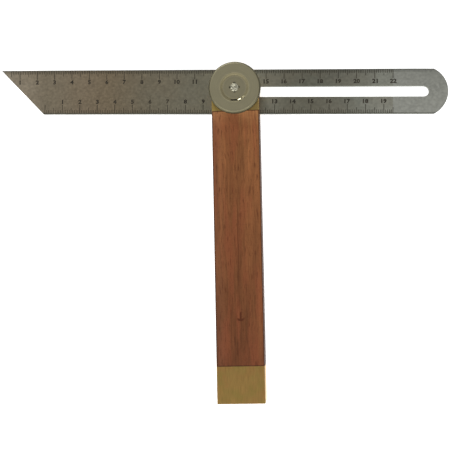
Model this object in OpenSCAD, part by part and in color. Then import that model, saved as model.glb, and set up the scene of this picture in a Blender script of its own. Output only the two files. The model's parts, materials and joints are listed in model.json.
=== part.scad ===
// Sliding bevel gauge: a slotted, graduated steel blade clamped in a hardwood stock with brass
// head plates and a brass butt cap. It is drawn lying on its back face.
// Millimetres. The origin is where the clamp screw's axis meets the back face of the stock.
// +Z runs out of the front, wheel, side; +Y towards the rounded head; +X towards the blade's
// rounded end.

/* [Stock] */
// Width of the stock between its two working edges
stock_w = 26; // [22:0.5:34]
// Thickness of the stock from back face to front face
stock_t = 17; // [15:0.5:24]
// Solid length left between the bottom of the kerf and the butt end
solid_butt = 31.5; // [28:0.5:60]
// Rounding along the long edges of the stock
arris_r = 0.6; // [0.3:0.1:1.5]
// Length of kerf past the end of the folded blade
kerf_past_blade = 20.5; // [2:0.5:30]

/* [Head plates] */
// Thickness of each brass head plate, let in flush
plate_t = 1.2; // [0.8:0.1:2]
// Straight part of a head plate, below the clamp axis
plate_skirt = 12.2; // [10:0.1:30]

/* [Butt cap] */
// Length of the brass cap at the butt end
cap_len = 20; // [14:0.5:26]
// Side wall of the butt cap
cap_wall = 1; // [0.6:0.1:2]
// End wall of the butt cap
cap_end_t = 1.5; // [1.2:0.1:3]
// Rounding of the cap's outline at the butt end
cap_corner_r = 0.3; // [0.2:0.1:0.8]
// Distance between the two screws in the end of the cap
cap_screw_gap = 12; // [8:0.5:16]

/* [Blade] */
// Length of the blade from its point to its rounded end
blade_len = 250.8; // [200:0.1:320]
// Width of the blade
blade_w = 25; // [18:0.5:30]
// Thickness of the blade
blade_t = 2; // [1.2:0.1:3]
// Mitre of the pointed end, measured from the blade's edge
mitre_angle = 45; // [30:1:60]
// Radius of the rounded end
blade_end_r = 14; // [13:0.5:30]
// End-to-end length of the slot
slot_len = 112; // [60:1:125]
// Metal left between the slot and the rounded end
slot_end_gap = 10.5; // [8:0.5:20]
// Clamp axis to the centre of the slot's inner end, as stored
slot_rest = 2.7; // [0:0.1:50]
// Angle of the blade from square to the stock, as stored
blade_angle = -2; // [-10:0.5:10]

/* [Clamp wheel] */
// Diameter of the clamp wheel
wheel_d = 28.6; // [27:0.1:40]
// Thickness of the clamp wheel
wheel_t = 3; // [2.6:0.1:6]
// Rounding of the wheel's front edge
wheel_top_r = 1.2; // [0.6:0.1:1.3]
// Rounding of the wheel's back edge
wheel_low_r = 0.4; // [0.2:0.1:0.6]
// Radius of the flat floor of the dish round the screw
dish_r = 6.8; // [4.5:0.1:9]
// Depth of the dish
dish_depth = 0.6; // [0.4:0.1:1.2]
// Rounding over the edge of the dish, which meets its floor on the slant
dish_edge_r = 2.2; // [1.6:0.1:3.5]
// Pitch of the grip reeds round the rim
reed_pitch = 1.5; // [1.2:0.1:3]
// Depth of the grip reeds
reed_depth = 0.25; // [0.1:0.05:0.4]

/* [Clamp screw] */
// Plain shank that the blade slides and swings on
shank_d = 5.8; // [5.4:0.1:8]
// Threaded end
thread_d = 5; // [4:0.1:5.2]
// Rounded, riveted-over head of the screw in the dish
rivet_d = 4.4; // [4.2:0.1:5]
// Height of the riveted head above the floor of the dish
rivet_h = 0.5; // [0.3:0.1:0.8]
// Depth of the open corners of the square hole round the riveted head
corner_depth = 0.7; // [0.3:0.1:1]
// Across the flats of the square nut
nut_side = 9; // [8:0.5:11]
// Thickness of the nut
nut_t = 4; // [3:0.1:5]

/* [Washers] */
// Diameter of the thrust washer under the wheel
thrust_d = 16; // [12:0.5:17]
// Thickness of the thrust washer
thrust_t = 0.5; // [0.3:0.1:1]
// Diameter of the friction washers on each side of the blade
friction_d = 20; // [12:0.5:21]
// Thickness of a friction washer
friction_t = 0.3; // [0.2:0.1:0.6]

/* [Wood screws] */
// Head of a plate or cap screw
screw_head_d = 3.4; // [2.8:0.1:3.6]
// Core of a plate or cap screw
screw_core_d = 1.8; // [1.4:0.1:2.2]
// Length of a plate screw
plate_screw_len = 4.8; // [3:0.1:5]
// Length of a butt-cap screw
cap_screw_len = 12; // [8:0.5:16]
// Centre of the upper plate screw above the clamp axis
upper_screw_y = 10.2; // [9.8:0.1:10.4]
// Centres of the lower plate screws to each side of the clamp axis
lower_screw_x = 9; // [8:0.1:9.5]
// Centres of the lower plate screws below the clamp axis
lower_screw_y = 7.6; // [6.5:0.1:8]

/* [Clearances] */
// Round the shank in each bore and in the slot, on the radius
shank_gap = 0.1; // [0.05:0.01:0.15]
// Round the thread in the nut, on the radius
thread_gap = 0.05; // [0.02:0.01:0.1]
// Between each friction washer and the wall of the kerf
kerf_gap = 0.1; // [0.05:0.05:0.3]
// Between the end of the screw and the back plate
tip_gap = 0.7; // [0.3:0.1:1.2]
// Between the shoulder under the shank and the nut
shoulder_gap = 0.5; // [0.3:0.1:1]
// Round a wood screw in its hole
screw_gap = 0.05; // [0.02:0.01:0.1]

/* [Hidden] */
$fn = 96;
// Cuts run this far past a face
over = 1;
// Across the corners the tenon is as wide as the shank, so its shoulder seats the wheel
tenon_side = shank_d / sqrt(2);
// Bores and the slot guide the same shank
bore_d = shank_d + 2 * shank_gap;
slot_w = bore_d;
slot_run = slot_len - slot_w;
// Places along the blade, from its point
slot_outer = blade_len - slot_end_gap - slot_w / 2;
slot_inner = slot_outer - slot_run;
pivot_from_tip = slot_inner + slot_rest;
// Levels of the blade and the kerf
blade_low = (stock_t - blade_t) / 2;
blade_top = blade_low + blade_t;
kerf_low = blade_low - friction_t - kerf_gap;
kerf_w = blade_t + 2 * (friction_t + kerf_gap);
// The kerf takes the rounded end of the blade when it is folded into the stock
kerf_depth = blade_len - slot_inner + kerf_past_blade;
butt_y = -(kerf_depth + solid_butt);
cap_y = butt_y + cap_len;
// Levels of the clamp
nut_low = plate_t;
nut_top = nut_low + nut_t;
screw_low = plate_t + tip_gap;
shank_low = nut_top + shoulder_gap;
wheel_low = stock_t + thrust_t;
dish_floor = wheel_low + wheel_t - dish_depth;
// Wood screws
head_depth = (screw_head_d - screw_core_d) / 2;
drive_w = 0.5;
drive_depth = 0.4;
screw_point = 1;
plate_screw_spots = [[0, upper_screw_y, 90], [lower_screw_x, -lower_screw_y, 20],
                     [-lower_screw_x, -lower_screw_y, 140]];
cap_screw_spots = [[-cap_screw_gap / 2, 35], [cap_screw_gap / 2, 110]];
// Colours
wood = [0.51, 0.33, 0.21];
brass = [0.72, 0.58, 0.30];
steel = [0.47, 0.45, 0.38];
wheel_steel = [0.56, 0.54, 0.46];
dark_steel = [0.35, 0.34, 0.31];

// A rectangle from a to b with its four corners rounded to radius r
module rounded_box(a, b, r) {
  translate([a[0] + r, a[1]]) square([b[0] - a[0] - 2 * r, b[1] - a[1]]);
  translate([a[0], a[1] + r]) square([b[0] - a[0], b[1] - a[1] - 2 * r]);
  for (x = [a[0] + r, b[0] - r], y = [a[1] + r, b[1] - r])
    translate([x, y]) circle(r);
}

// A round bar along +Z from z to z + h
module bar(d, z, h) {
  translate([0, 0, z]) cylinder(d = d, h = h);
}

// The stock's cross-section, drawn with the back face at y = 0
module stock_section() {
  rounded_box([-stock_w / 2, 0], [stock_w / 2, stock_t], arris_r);
}

// The whole outside of the stock: a straight bar down to y, under a half-round head
module stock_outside(y) {
  rotate([90, 0, 0]) linear_extrude(-y) stock_section();
  rotate_extrude(angle = 180)
    intersection() {
      stock_section();
      square([stock_w, stock_t]);
    }
}

// The layer of the head that a plate fills, from level z up to level z + t
module plate_layer(z, t) {
  translate([-stock_w, -plate_skirt, z]) cube([2 * stock_w, plate_skirt + stock_w, t]);
}

// A countersunk wood screw, or with gap the hole for it. The face is at z = 0 and it goes down.
module wood_screw(length, gap = 0) {
  translate([0, 0, -head_depth - gap])
    cylinder(d1 = screw_core_d + 2 * gap, d2 = screw_head_d + 2 * gap, h = head_depth + gap);
  bar(screw_core_d + 2 * gap, screw_point - length, length - screw_point - head_depth / 2);
  translate([0, 0, -length - gap])
    cylinder(d1 = screw_core_d / 3, d2 = screw_core_d + 2 * gap, h = screw_point + gap);
}

// A countersunk wood screw with its driver slot turned by angle
module slotted_screw(length, angle) {
  difference() {
    wood_screw(length);
    rotate(angle)
      translate([-screw_head_d, -drive_w / 2, -drive_depth])
        cube([2 * screw_head_d, drive_w, drive_depth + over]);
  }
}

// Places a child at every plate screw of the front face, or of the back face turned over
module at_plate_screws(front) {
  for (s = plate_screw_spots)
    translate([s[0], s[1], front ? stock_t : 0])
      rotate([front ? 0 : 180, 0, 0]) rotate(s[2]) children();
}

// Places a child at each screw in the end of the cap, pointing into the tenon
module at_cap_screws() {
  for (s = cap_screw_spots)
    translate([s[0], butt_y, stock_t / 2]) rotate([90, 0, 0]) rotate(s[1]) children();
}

// A head plate lying from level z up, before it is drilled
module plate_blank(z) {
  intersection() {
    stock_outside(-plate_skirt - over);
    plate_layer(z, plate_t);
  }
}

module stock_wood() {
  tenon_end = butt_y + cap_end_t;
  color(wood)
  difference() {
    union() {
      stock_outside(cap_y);
      translate([cap_wall - stock_w / 2, tenon_end, cap_wall])
        cube([stock_w - 2 * cap_wall, cap_y - tenon_end + over, stock_t - 2 * cap_wall]);
    }
    plate_layer(-over, plate_t + over);
    plate_layer(stock_t - plate_t, plate_t + over);
    translate([-stock_w, -kerf_depth, kerf_low])
      cube([2 * stock_w, kerf_depth + stock_w, kerf_w]);
    bar(bore_d, 0, stock_t);
    translate([-nut_side / 2, -nut_side / 2, 0]) cube([nut_side, nut_side, nut_top]);
    at_plate_screws(true) wood_screw(plate_screw_len, screw_gap);
    at_plate_screws(false) wood_screw(plate_screw_len, screw_gap);
    at_cap_screws() wood_screw(cap_screw_len, screw_gap);
  }
}

module head_plate_front() {
  color(brass)
  difference() {
    plate_blank(stock_t - plate_t);
    bar(bore_d, stock_t - plate_t - over, plate_t + 2 * over);
    at_plate_screws(true) wood_screw(plate_screw_len, screw_gap);
  }
}

module head_plate_back() {
  color(brass)
  difference() {
    plate_blank(0);
    at_plate_screws(false) wood_screw(plate_screw_len, screw_gap);
  }
}

module front_plate_screws() {
  color(brass) at_plate_screws(true) slotted_screw(plate_screw_len, 0);
}

module back_plate_screws() {
  color(brass) at_plate_screws(false) slotted_screw(plate_screw_len, 0);
}

module clamp_nut() {
  color(dark_steel)
  difference() {
    translate([-nut_side / 2, -nut_side / 2, nut_low]) cube([nut_side, nut_side, nut_t]);
    bar(thread_d + 2 * thread_gap, nut_low - over, nut_t + 2 * over);
  }
}

module butt_cap() {
  color(brass)
  difference() {
    intersection() {
      translate([0, cap_y, 0]) rotate([90, 0, 0]) linear_extrude(cap_len) stock_section();
      linear_extrude(stock_t)
        rounded_box([-stock_w / 2, butt_y], [stock_w / 2, cap_y + over], cap_corner_r);
      rotate([90, 0, 90]) translate([0, 0, -stock_w / 2]) linear_extrude(stock_w)
        rounded_box([butt_y, 0], [cap_y + over, stock_t], cap_corner_r);
    }
    translate([cap_wall - stock_w / 2, butt_y + cap_end_t, cap_wall])
      cube([stock_w - 2 * cap_wall, cap_len, stock_t - 2 * cap_wall]);
    at_cap_screws() wood_screw(cap_screw_len, screw_gap);
  }
}

module butt_cap_screws() {
  color(brass) at_cap_screws() slotted_screw(cap_screw_len, 0);
}

module thrust_washer() {
  color(wheel_steel)
  difference() {
    bar(thrust_d, stock_t, thrust_t);
    bar(bore_d, stock_t - over, thrust_t + 2 * over);
  }
}

// Half of the wheel's cross-section, with its back face at y = 0
module wheel_section() {
  r = wheel_d / 2;
  dish_edge = dish_r + sqrt(pow(dish_edge_r, 2) - pow(dish_edge_r - dish_depth, 2));
  difference() {
    union() {
      square([r - wheel_top_r, wheel_t]);
      translate([0, wheel_low_r]) square([r, wheel_t - wheel_low_r - wheel_top_r]);
      square([r - wheel_low_r, wheel_t / 2]);
      translate([r - wheel_top_r, wheel_t - wheel_top_r]) circle(wheel_top_r);
      translate([r - wheel_low_r, wheel_low_r]) circle(wheel_low_r);
    }
    difference() {
      translate([-over, wheel_t - dish_depth])
        square([dish_edge + over, dish_depth + over]);
      translate([dish_edge, wheel_t - dish_edge_r]) circle(dish_edge_r);
    }
  }
}

module clamp_wheel() {
  reed_r = reed_pitch / 2;
  reeds = floor(PI * wheel_d / reed_pitch);
  land = 0.3;
  band = wheel_t - wheel_top_r - wheel_low_r - 2 * land;
  color(wheel_steel)
  difference() {
    translate([0, 0, wheel_low]) rotate_extrude() wheel_section();
    rotate(45)
      translate([-tenon_side / 2, -tenon_side / 2, wheel_low - over])
        cube([tenon_side, tenon_side, wheel_t + 2 * over]);
    for (i = [0:reeds - 1])
      rotate(i * 360 / reeds)
        translate([wheel_d / 2 + reed_r - reed_depth, 0, wheel_low + wheel_low_r + land])
          cylinder(r = reed_r, h = band, $fn = 24);
  }
}

module clamp_screw() {
  chamfer = 0.5;
  tenon_top = dish_floor - corner_depth;
  neck_d = tenon_side - 0.1;
  dome_r = (pow(rivet_d / 2, 2) + pow(rivet_h, 2)) / (2 * rivet_h);
  color(dark_steel) {
    translate([0, 0, screw_low])
      cylinder(d1 = thread_d - 2 * chamfer, d2 = thread_d, h = chamfer);
    bar(thread_d, screw_low + chamfer, shank_low - screw_low - chamfer);
    bar(shank_d, shank_low, wheel_low - shank_low);
    rotate(45)
      translate([-tenon_side / 2, -tenon_side / 2, wheel_low])
        cube([tenon_side, tenon_side, tenon_top - wheel_low]);
    bar(neck_d, wheel_low, dish_floor - wheel_low + rivet_h / 2);
    intersection() {
      bar(rivet_d, dish_floor, rivet_h);
      translate([0, 0, dish_floor + rivet_h - dome_r]) sphere(dome_r);
    }
  }
}

// A friction washer lying from level z up
module friction_washer(z) {
  color(brass)
  difference() {
    bar(friction_d, z, friction_t);
    bar(bore_d, z - over, friction_t + 2 * over);
  }
}

module friction_washer_front() {
  friction_washer(blade_top);
}

module friction_washer_back() {
  friction_washer(blade_low - friction_t);
}

// The blade's outline, with its point at x = 0 and its centre line along y = 0
module blade_outline() {
  end_x = blade_len - blade_end_r;
  difference() {
    union() {
      polygon([[0, blade_w / 2], [blade_w / tan(mitre_angle), -blade_w / 2],
               [end_x, -blade_w / 2], [end_x, blade_w / 2]]);
      intersection() {
        translate([end_x, 0]) circle(blade_end_r);
        translate([end_x - over, -blade_w / 2]) square([blade_end_r + 2 * over, blade_w]);
      }
    }
    translate([slot_inner, -slot_w / 2]) square([slot_run, slot_w]);
    for (x = [slot_inner, slot_outer])
      translate([x, 0]) circle(d = slot_w);
  }
}

module blade() {
  color(steel)
  rotate(blade_angle) translate([-pivot_from_tip, 0, blade_low])
    linear_extrude(blade_t) blade_outline();
}

stock_wood();
head_plate_front();
head_plate_back();
front_plate_screws();
back_plate_screws();
clamp_nut();
butt_cap();
butt_cap_screws();
thrust_washer();
clamp_wheel();
clamp_screw();
friction_washer_front();
friction_washer_back();
blade();
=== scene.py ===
"""Looks of a sliding bevel gauge: its finishes, the scale on its blade, and the studio that it lies in."""

import json
import logging
import math
from abc import ABC, abstractmethod
from dataclasses import dataclass, field
from enum import Enum
from typing import Any, Iterable, Union

import bpy
from mathutils import Matrix, Vector

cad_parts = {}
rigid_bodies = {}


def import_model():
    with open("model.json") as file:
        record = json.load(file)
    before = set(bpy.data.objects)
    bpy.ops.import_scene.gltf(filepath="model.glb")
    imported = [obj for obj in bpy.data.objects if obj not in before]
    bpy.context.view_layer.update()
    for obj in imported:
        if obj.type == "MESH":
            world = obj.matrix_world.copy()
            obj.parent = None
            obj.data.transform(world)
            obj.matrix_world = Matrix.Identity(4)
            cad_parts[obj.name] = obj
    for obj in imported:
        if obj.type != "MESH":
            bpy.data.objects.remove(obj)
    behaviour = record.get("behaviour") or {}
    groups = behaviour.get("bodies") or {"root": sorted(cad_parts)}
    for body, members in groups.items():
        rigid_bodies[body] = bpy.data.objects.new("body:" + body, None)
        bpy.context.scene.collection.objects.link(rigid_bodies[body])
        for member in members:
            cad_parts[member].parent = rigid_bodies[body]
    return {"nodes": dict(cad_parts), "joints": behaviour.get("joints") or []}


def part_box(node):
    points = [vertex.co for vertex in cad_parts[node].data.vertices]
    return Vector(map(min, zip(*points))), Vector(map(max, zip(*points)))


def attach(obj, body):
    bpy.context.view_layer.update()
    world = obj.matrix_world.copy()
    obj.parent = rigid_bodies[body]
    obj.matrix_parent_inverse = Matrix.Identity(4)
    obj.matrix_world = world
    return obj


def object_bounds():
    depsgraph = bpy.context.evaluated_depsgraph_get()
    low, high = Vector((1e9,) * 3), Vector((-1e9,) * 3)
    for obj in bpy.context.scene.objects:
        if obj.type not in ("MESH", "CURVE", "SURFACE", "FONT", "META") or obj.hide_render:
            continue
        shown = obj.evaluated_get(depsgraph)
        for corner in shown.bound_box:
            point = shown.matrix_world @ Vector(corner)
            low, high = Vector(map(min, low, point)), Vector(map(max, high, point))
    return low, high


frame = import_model()
CAD_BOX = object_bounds()

LOG = logging.getLogger("bevel_gauge")
MM = 0.001
MM_PER_HALF = 5
MM_PER_CM = 10

Colour = tuple[float, float, float]
Number = Union["Val", float]


def tone(red: int, green: int, blue: int, gain: float = 1.0) -> Colour:
    """Turns a colour on the usual 0 to 255 scale into linear light.

    Args:
        red, green, blue: The colour on the screen's scale.
        gain: How many times brighter the result is.

    Returns:
        The linear colour that shader sockets take.
    """
    def linear(level: int) -> float:
        """Undoes the screen's curve for one channel."""
        share = level / 255
        return share / 12.92 if share <= 0.04045 else ((share + 0.055) / 1.055) ** 2.4

    return tuple(min(1.0, gain * linear(level)) for level in (red, green, blue))


# ---------------------------------------------------------------------------------------------------------
# Shader building
# ---------------------------------------------------------------------------------------------------------


class Val:
    """A number that a shader socket carries, which takes part in ordinary arithmetic."""

    def __init__(self, shader: "Shader", socket: bpy.types.NodeSocket) -> None:
        """Wraps one output socket of a shader's node."""
        self.shader = shader
        self.socket = socket

    def __add__(self, other: Number) -> "Val":
        """self + other."""
        return self.shader.math("ADD", self, other)

    def __sub__(self, other: Number) -> "Val":
        """self - other."""
        return self.shader.math("SUBTRACT", self, other)

    def __mul__(self, other: Number) -> "Val":
        """self * other."""
        return self.shader.math("MULTIPLY", self, other)

    def __truediv__(self, other: Number) -> "Val":
        """self / other."""
        return self.shader.math("DIVIDE", self, other)

    def __pow__(self, other: Number) -> "Val":
        """self ** other."""
        return self.shader.math("POWER", self, other)

    def __rsub__(self, other: float) -> "Val":
        """other - self."""
        return self.shader.math("SUBTRACT", other, self)

    def __abs__(self) -> "Val":
        """abs(self)."""
        return self.shader.math("ABSOLUTE", self)

    __radd__ = __add__

    def rises(self, low: float, high: float) -> "Val":
        """A smooth step: 0 below low and 1 above high, or the other way when high is below low."""
        if high < low:
            return 1.0 - self.rises(high, low)
        node = self.shader.node(
            "ShaderNodeMapRange",
            {"interpolation_type": "SMOOTHSTEP"},
            {"Value": self, "From Min": low, "From Max": high},
        )
        return Val(self.shader, node.outputs["Result"])

    def within(self, middle: float, half: float, soft: float) -> "Val":
        """1 within half of middle, falling to 0 over the width soft."""
        return abs(self - middle).rises(half + soft, half)


@dataclass(frozen=True)
class Pattern:
    """A noise pattern: its patches to the millimetre along x, y and z, its shift, and its spread.

    A direction with a scale of 0 is read at its shift alone. The raw values low and high become 0 and 1.
    """

    scale: tuple[float, float, float]
    shift: tuple[float, float, float] = (0.0, 0.0, 0.0)
    detail: float = 3.0
    low: float = 0.3
    high: float = 0.7


class Shader:
    """One material's nodes, on Object coordinates in millimetres."""

    def __init__(self, name: str) -> None:
        """Makes an empty material with a Principled shader.

        Args:
            name: The material's name.
        """
        self.material = bpy.data.materials.new(name)
        self.material.use_nodes = True
        self.tree = self.material.node_tree
        self.tree.nodes.clear()
        self.principled = self.node("ShaderNodeBsdfPrincipled")
        self.node("ShaderNodeOutputMaterial", inputs={"Surface": self.principled.outputs[0]})
        place = self.node("ShaderNodeTexCoord").outputs["Object"]
        scaled = self.node("ShaderNodeVectorMath", {"operation": "SCALE"}, {0: place, "Scale": 1 / MM})
        self.place = scaled.outputs[0]
        axes = self.node("ShaderNodeSeparateXYZ", inputs={0: self.place}).outputs
        self.x, self.y, self.z = (Val(self, axis) for axis in axes)

    def node(
        self,
        kind: str,
        settings: dict[str, Any] | None = None,
        inputs: dict[int | str, Any] | None = None,
    ) -> bpy.types.Node:
        """Adds a node.

        Args:
            kind: The node's type.
            settings: Its own settings; "stops" is a ramp's list of places and colours.
            inputs: The value or the link of each named or numbered socket.

        Returns:
            The new node.
        """
        node = self.tree.nodes.new(kind)
        for name, value in (settings or {}).items():
            if name == "stops":
                self._set_stops(node.color_ramp, value)
            else:
                setattr(node, name, value)
        for key, value in (inputs or {}).items():
            if isinstance(value, Val):
                value = value.socket
            if isinstance(value, bpy.types.NodeSocket):
                self.tree.links.new(value, node.inputs[key])
            elif isinstance(value, tuple) and node.inputs[key].type == "RGBA":
                node.inputs[key].default_value = (*value, 1.0)
            else:
                node.inputs[key].default_value = value
        return node

    @staticmethod
    def _set_stops(ramp: bpy.types.ColorRamp, stops: Iterable[tuple[float, Colour]]) -> None:
        """Gives a colour ramp its stops."""
        for index, (position, colour) in enumerate(stops):
            stop = ramp.elements[index] if index < 2 else ramp.elements.new(position)
            stop.position = position
            stop.color = (*colour, 1.0)

    def math(self, operation: str, *operands: Number) -> Val:
        """Works out one operation on sockets or plain numbers."""
        node = self.node("ShaderNodeMath", {"operation": operation}, dict(enumerate(operands)))
        return Val(self, node.outputs[0])

    def vector(self, x: Number, y: Number, z: Number) -> bpy.types.NodeSocket:
        """Joins three numbers into a vector."""
        return self.node("ShaderNodeCombineXYZ", inputs={0: x, 1: y, 2: z}).outputs[0]

    def noise(self, pattern: Pattern, x: Val | None = None, y: Val | None = None) -> Val:
        """Reads a noise pattern and spreads it over 0 to 1.

        Args:
            pattern: The pattern.
            x, y: Where it is read, if not at the place's own x and y.

        Returns:
            The pattern's value.
        """
        place = (self.x if x is None else x, self.y if y is None else y, self.z)
        spot = [self._scaled(*axis) for axis in zip(place, pattern.scale, pattern.shift)]
        texture = self.node(
            "ShaderNodeTexNoise",
            inputs={"Vector": self.vector(*spot), "Scale": 1.0, "Detail": pattern.detail},
        )
        spread = self.node(
            "ShaderNodeMapRange",
            inputs={"Value": texture.outputs[0], "From Min": pattern.low, "From Max": pattern.high},
        )
        return Val(self, spread.outputs["Result"])

    @staticmethod
    def _scaled(place: Val, scale: float, shift: float) -> Number:
        """place * scale + shift, without the steps that change nothing."""
        if not scale:
            return shift
        spot = place if scale == 1.0 else place * scale
        return spot + shift if shift else spot

    def ramp(self, factor: Number, stops: Iterable[tuple[float, Colour]]) -> bpy.types.NodeSocket:
        """Reads a colour off a row of stops."""
        return self.node("ShaderNodeValToRGB", {"stops": stops}, {"Fac": factor}).outputs["Color"]

    def mix(self, factor: Number, first: Any, second: Any) -> bpy.types.NodeSocket:
        """Goes from the first colour to the second as factor goes from 0 to 1."""
        node = self.node("ShaderNodeMix", {"data_type": "RGBA"}, {0: factor, 6: first, 7: second})
        return node.outputs[2]

    def layers(self, base: Any, *layers: tuple[Number, Any]) -> bpy.types.NodeSocket:
        """Lays colours over a base in turn, each with the share of it that shows."""
        for share, colour in layers:
            base = self.mix(share, base, colour)
        return base

    def shade(self, colour: Any, factor: Number) -> bpy.types.NodeSocket:
        """Makes a colour factor times as bright."""
        node = self.node("ShaderNodeVectorMath", {"operation": "SCALE"}, {0: colour, "Scale": factor})
        return node.outputs[0]

    def relief(self, height: Number, depth_mm: float) -> bpy.types.NodeSocket:
        """Turns a height from 0 to 1 into a bumped normal, depth_mm deep."""
        node = self.node("ShaderNodeBump", inputs={"Height": height, "Distance": depth_mm * MM})
        return node.outputs[0]

    def finish(self, **sockets: Any) -> bpy.types.Material:
        """Sets the Principled shader's sockets, with _ for a space, and hands over the material."""
        for name, value in sockets.items():
            socket = self.principled.inputs[name.replace("_", " ")]
            if isinstance(value, Val):
                value = value.socket
            if isinstance(value, bpy.types.NodeSocket):
                self.tree.links.new(value, socket)
            elif isinstance(value, tuple):
                socket.default_value = (*value, 1.0)
            else:
                socket.default_value = value
        return self.material


# ---------------------------------------------------------------------------------------------------------
# Finishes
# ---------------------------------------------------------------------------------------------------------


class Finish(ABC):
    """A surface that can be made into a material."""

    @abstractmethod
    def material(self) -> bpy.types.Material:
        """Builds the finish.

        Returns:
            The finished material.
        """


@dataclass(frozen=True)
class Hardwood(Finish):
    """Oiled, straight-grained reddish hardwood, with its grain along Y."""

    half_width: float
    plate_y: float
    joint_y: float
    # Painted light: the head end is painted brighter, to lift the shade that the wheel casts on it.
    head: Colour = tone(172, 122, 78)
    upper: Colour = tone(122, 79, 47)
    middle: Colour = tone(114, 72, 43)
    butt: Colour = tone(89, 53, 32)
    red: Colour = tone(121, 67, 43)
    grey: Colour = tone(112, 84, 66)
    dark: Colour = tone(72, 36, 20)
    # Painted shade for the long edges, with some wear, and the colour of the dark joints with the brass.
    grime: Colour = tone(44, 26, 16)
    board: tuple[tuple[float, float], ...] = (
        (0.0, 0.4), (0.06, 0.36), (0.15, 0.62), (0.22, 0.5), (0.32, 0.44), (0.48, 0.42),
        (0.6, 0.56), (0.7, 0.58), (0.8, 0.6), (0.92, 0.9), (1.0, 0.75),
    )
    fleck_x: float = 0.6
    fleck_y: float = -126.8
    fleck_half: float = 2.5
    roughness: float = 0.5
    edge_soft: float = 0.6
    drift: Pattern = Pattern((0.07, 0.016, 0.07))
    drift_width: float = 2.4
    bands: Pattern = Pattern((0.42, 0.008, 0.42), detail=2)
    fibre: Pattern = Pattern((1.5, 0.03, 1.5))
    fine: Pattern = Pattern((5.0, 0.14, 5.0), detail=2)
    cloud: Pattern = Pattern((0.16, 0.05, 0.16), low=0.4, high=0.6)
    reddish: Pattern = Pattern((0.22, 0.03, 0.22), (0.0, 7.0, 0.0), low=0.45, high=0.6)
    darts: Pattern = Pattern((2.0, 0.15, 2.0), detail=1, low=0.58, high=0.7)
    pores: Pattern = Pattern((6.0, 0.7, 6.0), detail=1, low=0.6, high=0.7)

    def material(self) -> bpy.types.Material:
        """Builds the wood."""
        s = Shader("oiled_hardwood")
        wander = s.noise(self.drift) * self.drift_width
        grain = s.x + wander
        across = (s.x + wander * 0.5 + (self.half_width - self.edge_soft)) / (2 * self.half_width)
        fibre, fine, darts, pores = (
            s.noise(pattern, grain) for pattern in (self.fibre, self.fine, self.darts, self.pores)
        )
        light = 0.16 + self._board(s, across) * 0.6 + s.noise(self.bands, grain) * 0.28
        light = light + s.noise(self.cloud) * 0.16 + fibre * 0.36 + fine * 0.24
        base = s.layers(
            s.shade(self._lengthwise(s), light),
            (s.noise(self.reddish, grain) * 0.5 + across.rises(0.75, 0.1) * 0.1, self.red),
            (across.rises(0.3, 0.05) * 0.14, self.grey),
            (darts * 0.6, self.dark),
            (pores * 0.35, self.dark),
            (self._fleck(s) * 0.9, self.dark),
            # Painted shade on the long edges, and the dark joints.
            (self._grime(s) * 0.75, self.grime),
        )
        return s.finish(
            Base_Color=base,
            Roughness=self.roughness + pores * 0.2 - fibre * 0.08,
            Specular_IOR_Level=0.12,
            Normal=s.relief(fibre * 0.4 + fine * 0.3 - pores * 0.6 - darts * 0.4, 0.05),
        )

    def _lengthwise(self, s: Shader) -> bpy.types.NodeSocket:
        """The wood's colour from its head to its butt, with painted light at the head end."""
        stops = [(0.06, self.head), (0.14, self.upper), (0.45, self.middle), (1.0, self.butt)]
        return s.ramp(s.y / self.joint_y, stops)

    def _board(self, s: Shader, across: Val) -> Val:
        """The broad light and dark bands of this board, from its left edge to its right."""
        board = s.ramp(across, [(place, (level,) * 3) for place, level in self.board])
        return Val(s, s.node("ShaderNodeSeparateColor", inputs={0: board}).outputs[0])

    def _grime(self, s: Shader) -> Val:
        """Painted shade along the rounded long edges, with some wear, and the dark joints with the brass.
        """
        # Painted shade where the rounded long edges turn away from the light, with some wear.
        edge = abs(s.x).rises(self.half_width - 0.85, self.half_width - 0.3)
        cap_joint = (s.y - self.joint_y).rises(0.75, 0.1)
        plate_joint = (s.y - self.plate_y).within(0.0, 0.3, 0.5)
        return s.math("MAXIMUM", edge, s.math("MAXIMUM", cap_joint, plate_joint))

    def _fleck(self, s: Shader) -> Val:
        """The dark fleck in the grain: a stem on a shallow upturned arc, with a streak above it."""
        above = s.y - self.fleck_y
        aside = s.x - self.fleck_x
        stem = aside.within(0.0, 0.3, 0.35) * above.rises(-0.4, 0.2) * above.rises(5.0, 3.8)
        bowl = above - (aside * aside) / (self.fleck_half * 2.3)
        arc = bowl.within(0.1, 0.4, 0.5) * abs(aside).rises(self.fleck_half + 0.5, 0.9)
        streak = (aside + 0.6).within(0.0, 0.12, 0.4) * above.rises(3.0, 8.0) * above.rises(80.0, 50.0)
        return s.math("MAXIMUM", s.math("MAXIMUM", stem, arc), streak * 0.45)


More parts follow.
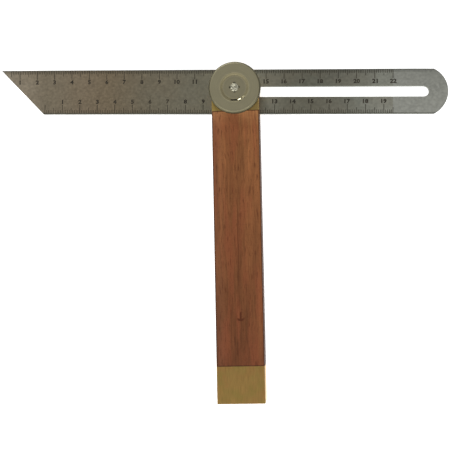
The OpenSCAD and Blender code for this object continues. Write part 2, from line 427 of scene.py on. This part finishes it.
@dataclass(frozen=True)
class Brass(Finish):
    """Brushed brass, slightly dulled, with olive and reddish blotches."""

    name: str = "brushed_brass"
    colour: Colour = (0.62, 0.385, 0.125)
    olive: Colour = (0.52, 0.375, 0.105)
    red: Colour = (0.62, 0.34, 0.115)
    # Painted shade, with some tarnished colour, on the outer edges and side walls, when edge_box is given.
    edge: Colour = (0.20, 0.125, 0.05)
    edge_box: tuple[Vector, Vector] | None = None
    roughness: float = 0.36
    streaks: Pattern = Pattern((1.3, 0.05, 1.3))
    fine: Pattern = Pattern((7.0, 0.18, 7.0), detail=2)
    blotch: Pattern = Pattern((0.14, 0.11, 0.14), low=0.42, high=0.6)
    warm: Pattern = Pattern((0.16, 0.13, 0.16), (9.0, 0.0, 0.0), low=0.45, high=0.62)

    def material(self) -> bpy.types.Material:
        """Builds the brass."""
        s = Shader(self.name)
        streaks = s.noise(self.streaks)
        fine = s.noise(self.fine)
        blotched = s.layers(
            self.colour, (s.noise(self.blotch) * 0.7, self.olive), (s.noise(self.warm) * 0.6, self.red)
        )
        base = s.shade(blotched, 0.86 + streaks * 0.2 + fine * 0.1)
        if self.edge_box:
            # Painted shade, partly tarnished colour, on the outer edges and the tops of the side walls.
            base = s.mix(self._edges(s, *self.edge_box) * 0.8, base, self.edge)
        return s.finish(
            Base_Color=base,
            Metallic=1.0,
            Roughness=self.roughness + fine * 0.08 - streaks * 0.05,
            Normal=s.relief(streaks * 0.3 + fine * 0.5, 0.012),
        )

    @staticmethod
    def _edges(s: Shader, low: Vector, high: Vector) -> Val:
        """Where the outer edges of metal that fills the box from low to high are painted darker: partly
        tarnished, partly painted shade.
        """
        side = abs(s.x).rises(high.x / MM - 0.6, high.x / MM - 0.2)
        foot = s.y.rises(low.y / MM + 0.45, low.y / MM + 0.1)
        near = s.z.rises(high.z / MM - 6.0, high.z / MM - 2.0)
        return s.math("MAXIMUM", side, foot) * near


@dataclass(frozen=True)
class BladeSteel(Finish):
    """Satin blade steel, with a tone along its scale that is partly tarnished warm and partly painted
    reflection, painted shade on its edges, and a brighter plain end.
    """

    axes: "BladeAxes"
    scale_end: float
    gain: float = 2.1
    # The tone along the blade: in part tarnished warm, in part painted reflection, and painted brighter
    # beside the wheel and the stock's head to lift their shade.
    tarnish: tuple[tuple[float, tuple[int, int, int]], ...] = (
        (0.0, (139, 130, 115)),
        (14.0, (140, 130, 113)),
        (26.0, (124, 115, 98)),
        (48.0, (123, 111, 93)),
        (62.0, (118, 106, 87)),
        (80.0, (112, 105, 89)),
        (108.0, (114, 110, 95)),
        (140.0, (133, 133, 116)),
        (152.0, (127, 125, 111)),
        (162.0, (107, 106, 94)),
        (178.0, (103, 103, 92)),
        (190.0, (110, 110, 100)),
        (202.0, (122, 123, 113)),
        (214.0, (138, 139, 129)),
    )
    plain: Colour = tone(148, 149, 141, 2.1)
    # Used for the worn bands, and as painted shade on the long edges and side walls.
    edge: Colour = tone(60, 62, 52, 1.6)
    stain: tuple[int, int, int] = (116, 103, 83)
    stains: Pattern = Pattern((0.05, 0.07, 0.0), (0.0, 0.0, 3.0), low=0.42, high=0.6)
    brushed: Pattern = Pattern((0.12, 3.4, 1.0))
    mottled: Pattern = Pattern((0.9, 0.9, 1.0), detail=4)

    def material(self) -> bpy.types.Material:
        """Builds the blade's steel."""
        s = Shader("satin_blade_steel")
        along, across = self.axes.along, self.axes.across
        u = s.x * along.x + s.y * along.y + self.axes.tip / MM
        v = s.x * across.x + s.y * across.y
        length = self.axes.length / MM
        stops = [(place / length, tone(*colour, self.gain)) for place, colour in self.tarnish]
        # Painted reflection and tarnished tone along the blade.
        base = s.ramp(u / length, stops)
        base = s.layers(
            base,
            (s.noise(self.stains, u, v) * 0.35, s.mix(0.5, base, tone(*self.stain, self.gain))),
            (u.rises(self.scale_end - 0.2, self.scale_end + 0.2), self.plain),
        )
        brushed = s.noise(self.brushed, u, v)
        mottled = s.noise(self.mottled, u, v)
        # Painted light: towards the plain end, the back edge's side of the blade is painted brighter than
        # the front edge's side.
        slope = u.rises(140.0, 200.0) * v * 0.007
        base = s.shade(base, 0.89 + brushed * 0.12 + mottled * 0.12 - slope)
        half = self.axes.half_width / MM
        top = self.axes.top / MM
        worn = v.rises(half - 2.4, half - 1.0) * 0.3 + v.rises(1.1 - half, 0.4 - half) * 0.3
        # Painted shade on the long edges and the side walls, where they turn away from the light.
        rim = s.math("MAXIMUM", abs(v).rises(half - 0.5, half - 0.15), s.z.rises(top - 0.02, top - 0.06))
        return s.finish(
            Base_Color=s.layers(base, (worn, self.edge), (rim * 0.85, self.edge)),
            Metallic=1.0,
            Roughness=0.4 + mottled * 0.08 - brushed * 0.05,
            Normal=s.relief(brushed * 0.6 + mottled * 0.3, 0.01),
        )


@dataclass(frozen=True)
class WheelSteel(Finish):
    """Turned, nickelled steel of the wheel: a dull rim darkened with painted shade, a polished dish with
    painted shade on its floor and wall, and a painted dark reflection, slightly dented, in the dish's
    wall.
    """

    radius: float
    dish_radius: float
    face_z: float
    colour: Colour = tone(124, 119, 97, 2.66)
    # Painted shade: the dish's floor a little darker than the face.
    dish: Colour = tone(119, 114, 93, 2.66)
    # Painted shade on the dish's wall.
    wall: Colour = tone(96, 91, 72, 2.2)
    # Painted shade on the rounded rim.
    rim: Colour = tone(100, 96, 76, 0.95)
    # Painted shade and painted dark reflection: the dark reflection in the dish's wall and the shade in
    # the square hole.
    dark: Colour = tone(34, 29, 22)
    # Where the painted dark reflection lies in the dish's wall, and half its length.
    nick: tuple[float, float] = (-0.3, -7.1)
    nick_half: float = 1.8
    glints: tuple[tuple[float, float, float], ...] = ((2.6, -6.85, 0.45), (4.9, -5.6, 0.2))
    rings: Pattern = Pattern((3.1, 0.0, 0.0))
    blotch: Pattern = Pattern((0.16, 0.16, 0.16), low=0.4, high=0.6)

    def material(self) -> bpy.types.Material:
        """Builds the wheel's steel."""
        s = Shader("turned_wheel_steel")
        radius = (s.x * s.x + s.y * s.y) ** 0.5
        rim = radius.rises(self.radius - 1.2, self.radius - 0.5)
        rings = s.noise(self.rings, radius) * (1.0 - rim)
        # Painted shade on the dish's floor.
        base = s.mix(radius.rises(self.dish_radius - 0.2, self.dish_radius + 0.3), self.dish, self.colour)
        base = s.mix(s.noise(self.blotch) * 0.3, base, s.shade(base, 0.86))
        wall = radius.within(self.dish_radius + 0.4, 0.6, 0.45)
        # Painted shade on the dish's wall and on the rounded rim.
        base = s.layers(base, (wall * 0.9, self.wall), (rim, self.rim))
        base = s.shade(base, 0.92 + rings * 0.14)
        above = s.z.rises(self.face_z - 1.0, self.face_z - 0.8)
        # A painted dark reflection in the dish's wall, set in a slight dent.
        reflection_x, reflection_y = self.nick
        nick = s.x.within(reflection_x, self.nick_half, 0.2) * s.y.within(reflection_y, 0.33, 0.2) * above
        # Painted dark reflection and painted shade in the square hole.
        base = s.mix(s.math("MAXIMUM", nick, self._grime(s, radius)), base, self.dark)
        polish = 0.0
        for x, y, strength in self.glints:
            polish = self._away(s, x, y).rises(1.2, 0.5) * strength + polish
        return s.finish(
            Base_Color=base,
            Metallic=1.0 - nick * 0.8,
            Roughness=0.38 + rings * 0.06 + rim * 0.24 + wall * 0.42 + nick * 0.2 - polish * 1.4,
            Normal=s.relief(rings * 0.6 - nick * 2.0, 0.012),
        )

    @staticmethod
    def _away(s: Shader, x: float, y: float) -> Val:
        """How far a place on the wheel's face is from x, y."""
        aside, above = s.x - x, s.y - y
        return (aside * aside + above * above) ** 0.5

    def _grime(self, s: Shader, radius: Val) -> Val:
        """Painted shade in the corners of the square hole that the rivet does not fill, and down in the
        hole.
        """
        # Painted shade down in the hole, and in the corner pockets round the rivet.
        below = s.z.rises(self.face_z - 0.62, self.face_z - 0.7) * radius.rises(3.4, 3.1)
        near = s.math("MINIMUM", abs(s.x), abs(s.y)).rises(0.85, 0.25)
        return s.math("MAXIMUM", below, near * radius.within(2.5, 0.25, 0.35) * 0.8)


@dataclass(frozen=True)
class TurnedSteel(Finish):
    """Bright turned steel of the clamping screw, with a hammered riveted end, speckled with painted shadow
    in its dents.
    """

    name: str = "turned_screw_steel"
    colour: Colour = (0.74, 0.72, 0.56)
    shadow: Colour = (0.26, 0.235, 0.17)
    # How much painted shadow darkens the hollows of the dents.
    speckle: float = 0.7
    roughness: float = 0.36
    dents: Pattern = Pattern((1.9, 1.9, 1.9), detail=2, low=0.38, high=0.62)
    fine: Pattern = Pattern((6.0, 6.0, 6.0))

    def material(self) -> bpy.types.Material:
        """Builds the steel."""
        s = Shader(self.name)
        dents = s.noise(self.dents)
        fine = s.noise(self.fine)
        # Painted shadow in the hollows of the dents.
        base = s.mix((1.0 - dents) * self.speckle, self.colour, self.shadow)
        base = s.shade(base, 0.9 + fine * 0.16)
        return s.finish(
            Base_Color=base,
            Metallic=1.0,
            Roughness=self.roughness + fine * 0.12,
            Normal=s.relief(dents + fine * 0.3, 0.05),
        )


@dataclass(frozen=True)
class ScaleFilling(Finish):
    """Dull black filling of the engraved lines and numbers, worn a little thin."""

    colour: Colour = tone(36, 32, 25)
    worn: Colour = tone(60, 54, 43)
    wear: Pattern = Pattern((0.5, 0.5, 1.0), low=0.45, high=0.65)
    grit: Pattern = Pattern((5.0, 5.0, 1.0))

    def material(self) -> bpy.types.Material:
        """Builds the filling."""
        s = Shader("scale_filling")
        grit = s.noise(self.grit)
        return s.finish(
            Base_Color=s.mix(s.noise(self.wear) * 0.6, self.colour, self.worn),
            Roughness=0.62 + grit * 0.2,
            Specular_IOR_Level=0.2,
            Normal=s.relief(grit, 0.01),
        )


@dataclass(frozen=True)
class PaleFloor(Finish):
    """The studio's plain pale table, lit a little from below so that it stays even."""

    colour: Colour = (0.82, 0.82, 0.82)
    glow: float = 0.95
    cloud: Pattern = Pattern((0.01, 0.01, 0.0))

    def material(self) -> bpy.types.Material:
        """Builds the table's surface."""
        s = Shader("pale_floor")
        return s.finish(
            Base_Color=s.shade(self.colour, 0.99 + s.noise(self.cloud) * 0.02),
            Roughness=0.9,
            Emission_Color=self.colour,
            Emission_Strength=self.glow,
        )


# ---------------------------------------------------------------------------------------------------------
# Modelling
# ---------------------------------------------------------------------------------------------------------


def select_only(*pieces: bpy.types.Object) -> None:
    """Selects just these objects and makes the first one active."""
    for other in bpy.context.view_layer.objects:
        other.select_set(False)
    for piece in pieces:
        piece.select_set(True)
    if pieces:
        bpy.context.view_layer.objects.active = pieces[0]


def join(pieces: list[bpy.types.Object], name: str) -> bpy.types.Object:
    """Joins several meshes into one piece.

    Args:
        pieces: The meshes, each with its place in its mesh.
        name: The joined piece's name.

    Returns:
        The joined piece.
    """
    select_only(*pieces)
    bpy.ops.object.join()
    joined = bpy.context.object
    joined.name = joined.data.name = name
    return joined


def dress(piece: bpy.types.Object, material: bpy.types.Material) -> None:
    """Gives a piece one material all over."""
    if not piece.material_slots:
        piece.data.materials.append(material)
    for slot in piece.material_slots:
        slot.material = material


@dataclass(frozen=True)
class BladeAxes:
    """Where the blade lies at rest: its own axes through the clamp's axis, and its extents along them."""

    along: Vector
    across: Vector
    tip: float
    end: float
    half_width: float
    top: float

    @classmethod
    def read(cls) -> "BladeAxes":
        """Works the axes out from the frame's slide joint and the blade's own solid."""
        slide = next(joint for joint in frame["joints"] if joint["name"] == "blade_slide")
        along = -Vector(slide["axis"]).normalized()
        across = Vector((-along.y, along.x, 0.0))
        corners = [vertex.co for vertex in frame["nodes"]["blade"].data.vertices]
        lengthwise = [corner.dot(along) for corner in corners]
        crosswise = [corner.dot(across) for corner in corners]
        return cls(
            along, across, -min(lengthwise), max(lengthwise), max(crosswise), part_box("blade")[1].z
        )

    @property
    def length(self) -> float:
        """The blade's length."""
        return self.tip + self.end

    def matrix(self) -> Matrix:
        """Turns a place in the blade's own axes, from its tip's line, into the row frame."""
        turn = Matrix((self.along, self.across, (0.0, 0.0, 1.0))).transposed().to_4x4()
        return Matrix.Translation(self.along * -self.tip) @ turn


class Edge(Enum):
    """The blade's two long edges, as the side of its middle line that each lies on."""

    FRONT = 1
    BACK = -1


@dataclass(frozen=True)
class Tick:
    """One length of line on the scale."""

    length: float
    width: float


@dataclass
class ScaleRow:
    """A centimetre scale along one edge of the blade: its lines and its numbers.

    The first_ and last_ places are whole millimetres from the scale's zero.
    """

    name: str
    edge: Edge
    axes: BladeAxes
    zero: float
    last_mm: int
    first_mm: int
    first_cm: int
    number_gap: float
    number_shift: float = 0.0
    first_half: int = MM_PER_HALF
    millimetre: Tick = Tick(2.0 * MM, 0.28 * MM)
    half: Tick = Tick(3.3 * MM, 0.28 * MM)
    centimetre: Tick = Tick(5.0 * MM, 0.36 * MM)
    number_height: float = 2.45 * MM
    number_spread: float = 1.15
    number_weight: float = 0.14 * MM
    font_ratio: float = 1.4
    curve_steps: int = 2
    proud: float = 0.012 * MM
    eased: float = 0.3
    inset: float = 0.25 * MM

    def build(self, filling: bpy.types.Material) -> list[bpy.types.Object]:
        """Builds the row's lines and its numbers, and lets them ride on the blade.

        Args:
            filling: What both are filled with.

        Returns:
            The two finished pieces.
        """
        made = [self._lines(), self._numbers()]
        for piece in made:
            piece.data.transform(self.axes.matrix())
            dress(piece, filling)
            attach(piece, "blade")
        return made

    def _line(self, tick: Tick, place_mm: int) -> bpy.types.Object:
        """Models one line: a thin bar with eased corners that grows from the blade's edge.

        Args:
            tick: The line's length and width.
            place_mm: Where it stands on the scale.

        Returns:
            The line's mesh object.
        """
        select_only()
        middle = self.edge.value * (self.axes.half_width - self.inset - tick.length / 2)
        bpy.ops.mesh.primitive_cube_add(
            size=1.0, location=(self.zero + place_mm * MM, middle, self.axes.top)
        )
        bpy.context.object.scale = (tick.width, tick.length, 2 * self.proud)
        bpy.ops.object.transform_apply(location=True, rotation=True, scale=True)
        bpy.ops.object.mode_set(mode="EDIT")
        bpy.ops.mesh.select_all(action="SELECT")
        bpy.ops.mesh.bevel(offset=self.eased * self.proud, segments=1)
        bpy.ops.object.mode_set(mode="OBJECT")
        return bpy.context.object

    @staticmethod
    def _repeat(piece: bpy.types.Object, count: int, step: float) -> None:
        """Copies a line along the scale, count times in all."""
        array = piece.modifiers.new("repeat", "ARRAY")
        array.count = count
        array.use_relative_offset = False
        array.use_constant_offset = True
        array.constant_offset_displace = (step, 0.0, 0.0)
        select_only(piece)
        bpy.ops.object.modifier_apply(modifier=array.name)

    def _lines(self) -> bpy.types.Object:
        """Builds every line of the row as one piece."""
        fine = self._line(self.millimetre, self.first_mm)
        self._repeat(fine, MM_PER_HALF - 1, 1 * MM)
        self._repeat(fine, (self.last_mm - self.first_mm) // MM_PER_HALF + 1, MM_PER_HALF * MM)
        lines = [fine]
        for tick, first in ((self.half, self.first_half), (self.centimetre, self.first_cm)):
            line = self._line(tick, first)
            self._repeat(line, (self.last_mm - first) // MM_PER_CM + 1, MM_PER_CM * MM)
            lines.append(line)
        return join(lines, f"{self.name}_lines")

    def _number(self, value: int) -> bpy.types.Object:
        """Models one number, its foot or head beside the end of its centimetre line."""
        select_only()
        bpy.ops.object.text_add()
        text = bpy.context.object
        text.data.body = str(value)
        text.data.size = self.font_ratio * self.number_height
        text.data.align_x = "CENTER"
        text.data.align_y = "CENTER"
        text.data.offset = self.number_weight
        text.data.extrude = self.proud
        text.data.resolution_u = self.curve_steps
        bpy.ops.object.convert(target="MESH")
        number = bpy.context.object
        rows = [vertex.co.y for vertex in number.data.vertices]
        columns = [vertex.co.x for vertex in number.data.vertices]
        tall = self.number_height / (max(rows) - min(rows))
        wide = tall * self.number_spread
        centre = Vector(((max(columns) + min(columns)) * wide, (max(rows) + min(rows)) * tall, 0.0)) / 2
        across = self.edge.value * (self.axes.half_width - self.number_gap - self.number_height / 2)
        along = self.zero + MM_PER_CM * value * MM + self.number_shift
        place = Vector((along, across, self.axes.top)) - centre
        number.data.transform(Matrix.Translation(place) @ Matrix.Diagonal((wide, tall, 1.0, 1.0)))
        return number

    def _numbers(self) -> bpy.types.Object:
        """Builds every number of the row as one piece."""
        last = self.last_mm // MM_PER_CM
        return join([self._number(value) for value in range(1, last + 1)], f"{self.name}_numbers")


# ---------------------------------------------------------------------------------------------------------
# Sub-assemblies
# ---------------------------------------------------------------------------------------------------------


@dataclass
class SubAssembly(ABC):
    """Some of the gauge's solids, which belong together."""

    nodes: dict[str, bpy.types.Object]

    @abstractmethod
    def dress(self) -> None:
        """Gives its solids their finishes."""

    def _finish(self, finish: Finish, *names: str) -> None:
        """Gives the named solids one finish."""
        material = finish.material()
        for name in names:
            dress(self.nodes[name], material)


@dataclass
class Stock(SubAssembly):
    """The wooden stock with its brass head plates, butt cap and screws, and the nut let into it."""

    def dress(self) -> None:
        """Gives the stock's solids their finishes."""
        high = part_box("stock_wood")[1]
        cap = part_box("butt_cap")
        plate_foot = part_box("head_plate_front")[0]
        wood = Hardwood(half_width=high.x / MM, plate_y=plate_foot.y / MM, joint_y=cap[1].y / MM)
        plates = Brass(name="plate_brass", colour=(0.51, 0.365, 0.138), roughness=0.46)
        screws = Brass(name="screw_brass", colour=(0.62, 0.44, 0.17), roughness=0.3)
        nut = TurnedSteel(name="nut_steel", colour=(0.5, 0.49, 0.45), speckle=0.4, roughness=0.42)
        self._finish(wood, "stock_wood")
        self._finish(Brass(edge_box=cap), "butt_cap")
        self._finish(plates, "head_plate_front", "head_plate_back")
        self._finish(screws, "front_plate_screws", "back_plate_screws", "butt_cap_screws")
        self._finish(nut, "clamp_nut")
        LOG.info("stock dressed")


@dataclass
class Clamp(SubAssembly):
    """The dished wheel riveted to the clamping screw, and the washers that it squeezes."""

    dish_radius: float = 6.8

    def dress(self) -> None:
        """Gives the clamp's solids their finishes."""
        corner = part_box("clamp_wheel")[1] / MM
        wheel = WheelSteel(radius=corner.x, dish_radius=self.dish_radius, face_z=corner.z)
        thrust = TurnedSteel(name="washer_steel", colour=(0.58, 0.56, 0.5), speckle=0.3, roughness=0.4)
        friction = Brass(name="washer_brass", colour=(0.66, 0.46, 0.18), roughness=0.4)
        self._finish(wheel, "clamp_wheel")
        self._finish(TurnedSteel(), "clamp_screw")
        self._finish(thrust, "thrust_washer")
        self._finish(friction, "friction_washer_front", "friction_washer_back")
        LOG.info("clamp dressed")


@dataclass
class Blade(SubAssembly):
    """The slotted, mitred blade with a centimetre scale along each edge."""

    axes: BladeAxes = field(default_factory=BladeAxes.read)
    front_last: int = 220
    back_last: int = 195
    zero: float = 0.8 * MM

    def dress(self) -> None:
        """Gives the blade its steel."""
        self._finish(BladeSteel(self.axes, scale_end=self.zero / MM + self.front_last), "blade")
        LOG.info("blade dressed")

    def engrave(self) -> None:
        """Adds the two scales."""
        heel = 2 * self.axes.half_width + self.zero
        front = ScaleRow(
            "front_scale", Edge.FRONT, self.axes, self.zero, self.front_last,
            first_mm=6, first_cm=10, number_gap=5.55 * MM, number_shift=0.1 * MM,
        )
        back = ScaleRow(
            "back_scale", Edge.BACK, self.axes, heel, self.back_last,
            first_mm=1, first_cm=0, number_gap=5.75 * MM,
        )
        filling = ScaleFilling().material()
        for row in (front, back):
            for piece in row.build(filling):
                LOG.info("%s: %d faces", piece.name, len(piece.data.polygons))


# ---------------------------------------------------------------------------------------------------------
# Studio
# ---------------------------------------------------------------------------------------------------------


@dataclass(frozen=True)
class Softbox:
    """A square studio lamp aimed at the object."""

    name: str
    place: Vector
    side: float
    watts: float

    def hang(self, target: Vector) -> None:
        """Adds the lamp.

        Args:
            target: The point that it faces.
        """
        select_only()
        bpy.ops.object.light_add(type="AREA", location=self.place)
        lamp = bpy.context.object
        lamp.name = self.name
        lamp.rotation_euler = (target - self.place).to_track_quat("-Z", "Y").to_euler()
        lamp.data.shape = "SQUARE"
        lamp.data.size = self.side
        lamp.data.energy = self.watts


@dataclass(frozen=True)
class Viewpoint:
    """Where the camera stands: round and above the point it looks at, with a little roll."""

    aim: Vector = Vector((-2.1, -80.15, 9.5)) * MM
    distance: float = 495.9 * MM
    azimuth: float = math.radians(43.57)
    elevation: float = math.radians(83.84)
    roll: float = math.radians(-1.18)
    lens: float = 68.94
    sensor: float = 36.0
    near: float = 0.01

    def place_camera(self) -> None:
        """Adds the camera and makes it the scene's own."""
        low = math.cos(self.elevation)
        back = Vector(
            (math.sin(self.azimuth) * low, -math.cos(self.azimuth) * low, math.sin(self.elevation))
        )
        right = Vector((0.0, 1.0, 0.0)).cross(back).normalized()
        turn = Matrix((right, back.cross(right), back)).transposed()
        turn = turn @ Matrix.Rotation(self.roll, 3, "Z")
        select_only()
        bpy.ops.object.camera_add(location=self.aim + back * self.distance, rotation=turn.to_euler())
        camera = bpy.context.object
        camera.data.lens = self.lens
        camera.data.sensor_width = self.sensor
        camera.data.clip_start = self.near
        bpy.context.scene.camera = camera


@dataclass
class Studio:
    """A pale table, three softboxes and even light all round."""

    viewpoint: Viewpoint = field(default_factory=Viewpoint)
    table_side: float = 12.0
    table_drop: float = 0.05 * MM
    ambient: float = 0.215
    backdrop: float = 1.0
    lamps: tuple[Softbox, ...] = (
        Softbox("key_softbox", Vector((-0.44, 1.2, 0.55)), side=0.3, watts=11.0),
        Softbox("left_softbox", Vector((-0.95, -1.25, 0.75)), side=0.9, watts=30.0),
        Softbox("right_softbox", Vector((1.05, -1.15, 0.75)), side=0.9, watts=30.0),
    )

    def set_up(self) -> None:
        """Adds the camera, the table, the lamps and the surrounding light."""
        self.viewpoint.place_camera()
        self._lay_table()
        for lamp in self.lamps:
            lamp.hang(self.viewpoint.aim)
        self._light_room()
        bpy.context.scene.view_settings.view_transform = "Standard"
        LOG.info("studio set up")

    def _light_room(self) -> None:
        """Makes the room even and dim for the object, and pale behind it."""
        world = bpy.data.worlds.new("studio")
        world.use_nodes = True
        tree = world.node_tree
        dim = tree.nodes["Background"]
        dim.inputs["Strength"].default_value = self.ambient
        pale = tree.nodes.new("ShaderNodeBackground")
        pale.inputs["Strength"].default_value = self.backdrop
        for background in (dim, pale):
            background.inputs["Color"].default_value = (1.0, 1.0, 1.0, 1.0)
        choice = tree.nodes.new("ShaderNodeMixShader")
        seen = tree.nodes.new("ShaderNodeLightPath").outputs["Is Camera Ray"]
        tree.links.new(seen, choice.inputs[0])
        tree.links.new(dim.outputs[0], choice.inputs[1])
        tree.links.new(pale.outputs[0], choice.inputs[2])
        tree.links.new(choice.outputs[0], tree.nodes["World Output"].inputs["Surface"])
        bpy.context.scene.world = world

    def _lay_table(self) -> None:
        """Adds the table under the object."""
        select_only()
        bpy.ops.mesh.primitive_plane_add(size=self.table_side, location=(0.0, 0.0, 0.0))
        table = bpy.context.object
        table.name = "table"
        table.data.transform(Matrix.Translation((0.0, 0.0, CAD_BOX[0].z - self.table_drop)))
        dress(table, PaleFloor().material())


def main() -> None:
    """Builds and dresses the gauge and sets up the studio."""
    logging.basicConfig(level=logging.INFO, format="%(name)s: %(message)s")
    nodes = frame["nodes"]
    Studio().set_up()
    blade = Blade(nodes)
    for assembly in (Stock(nodes), Clamp(nodes), blade):
        assembly.dress()
    blade.engrave()


if __name__ == "__main__":
    main()
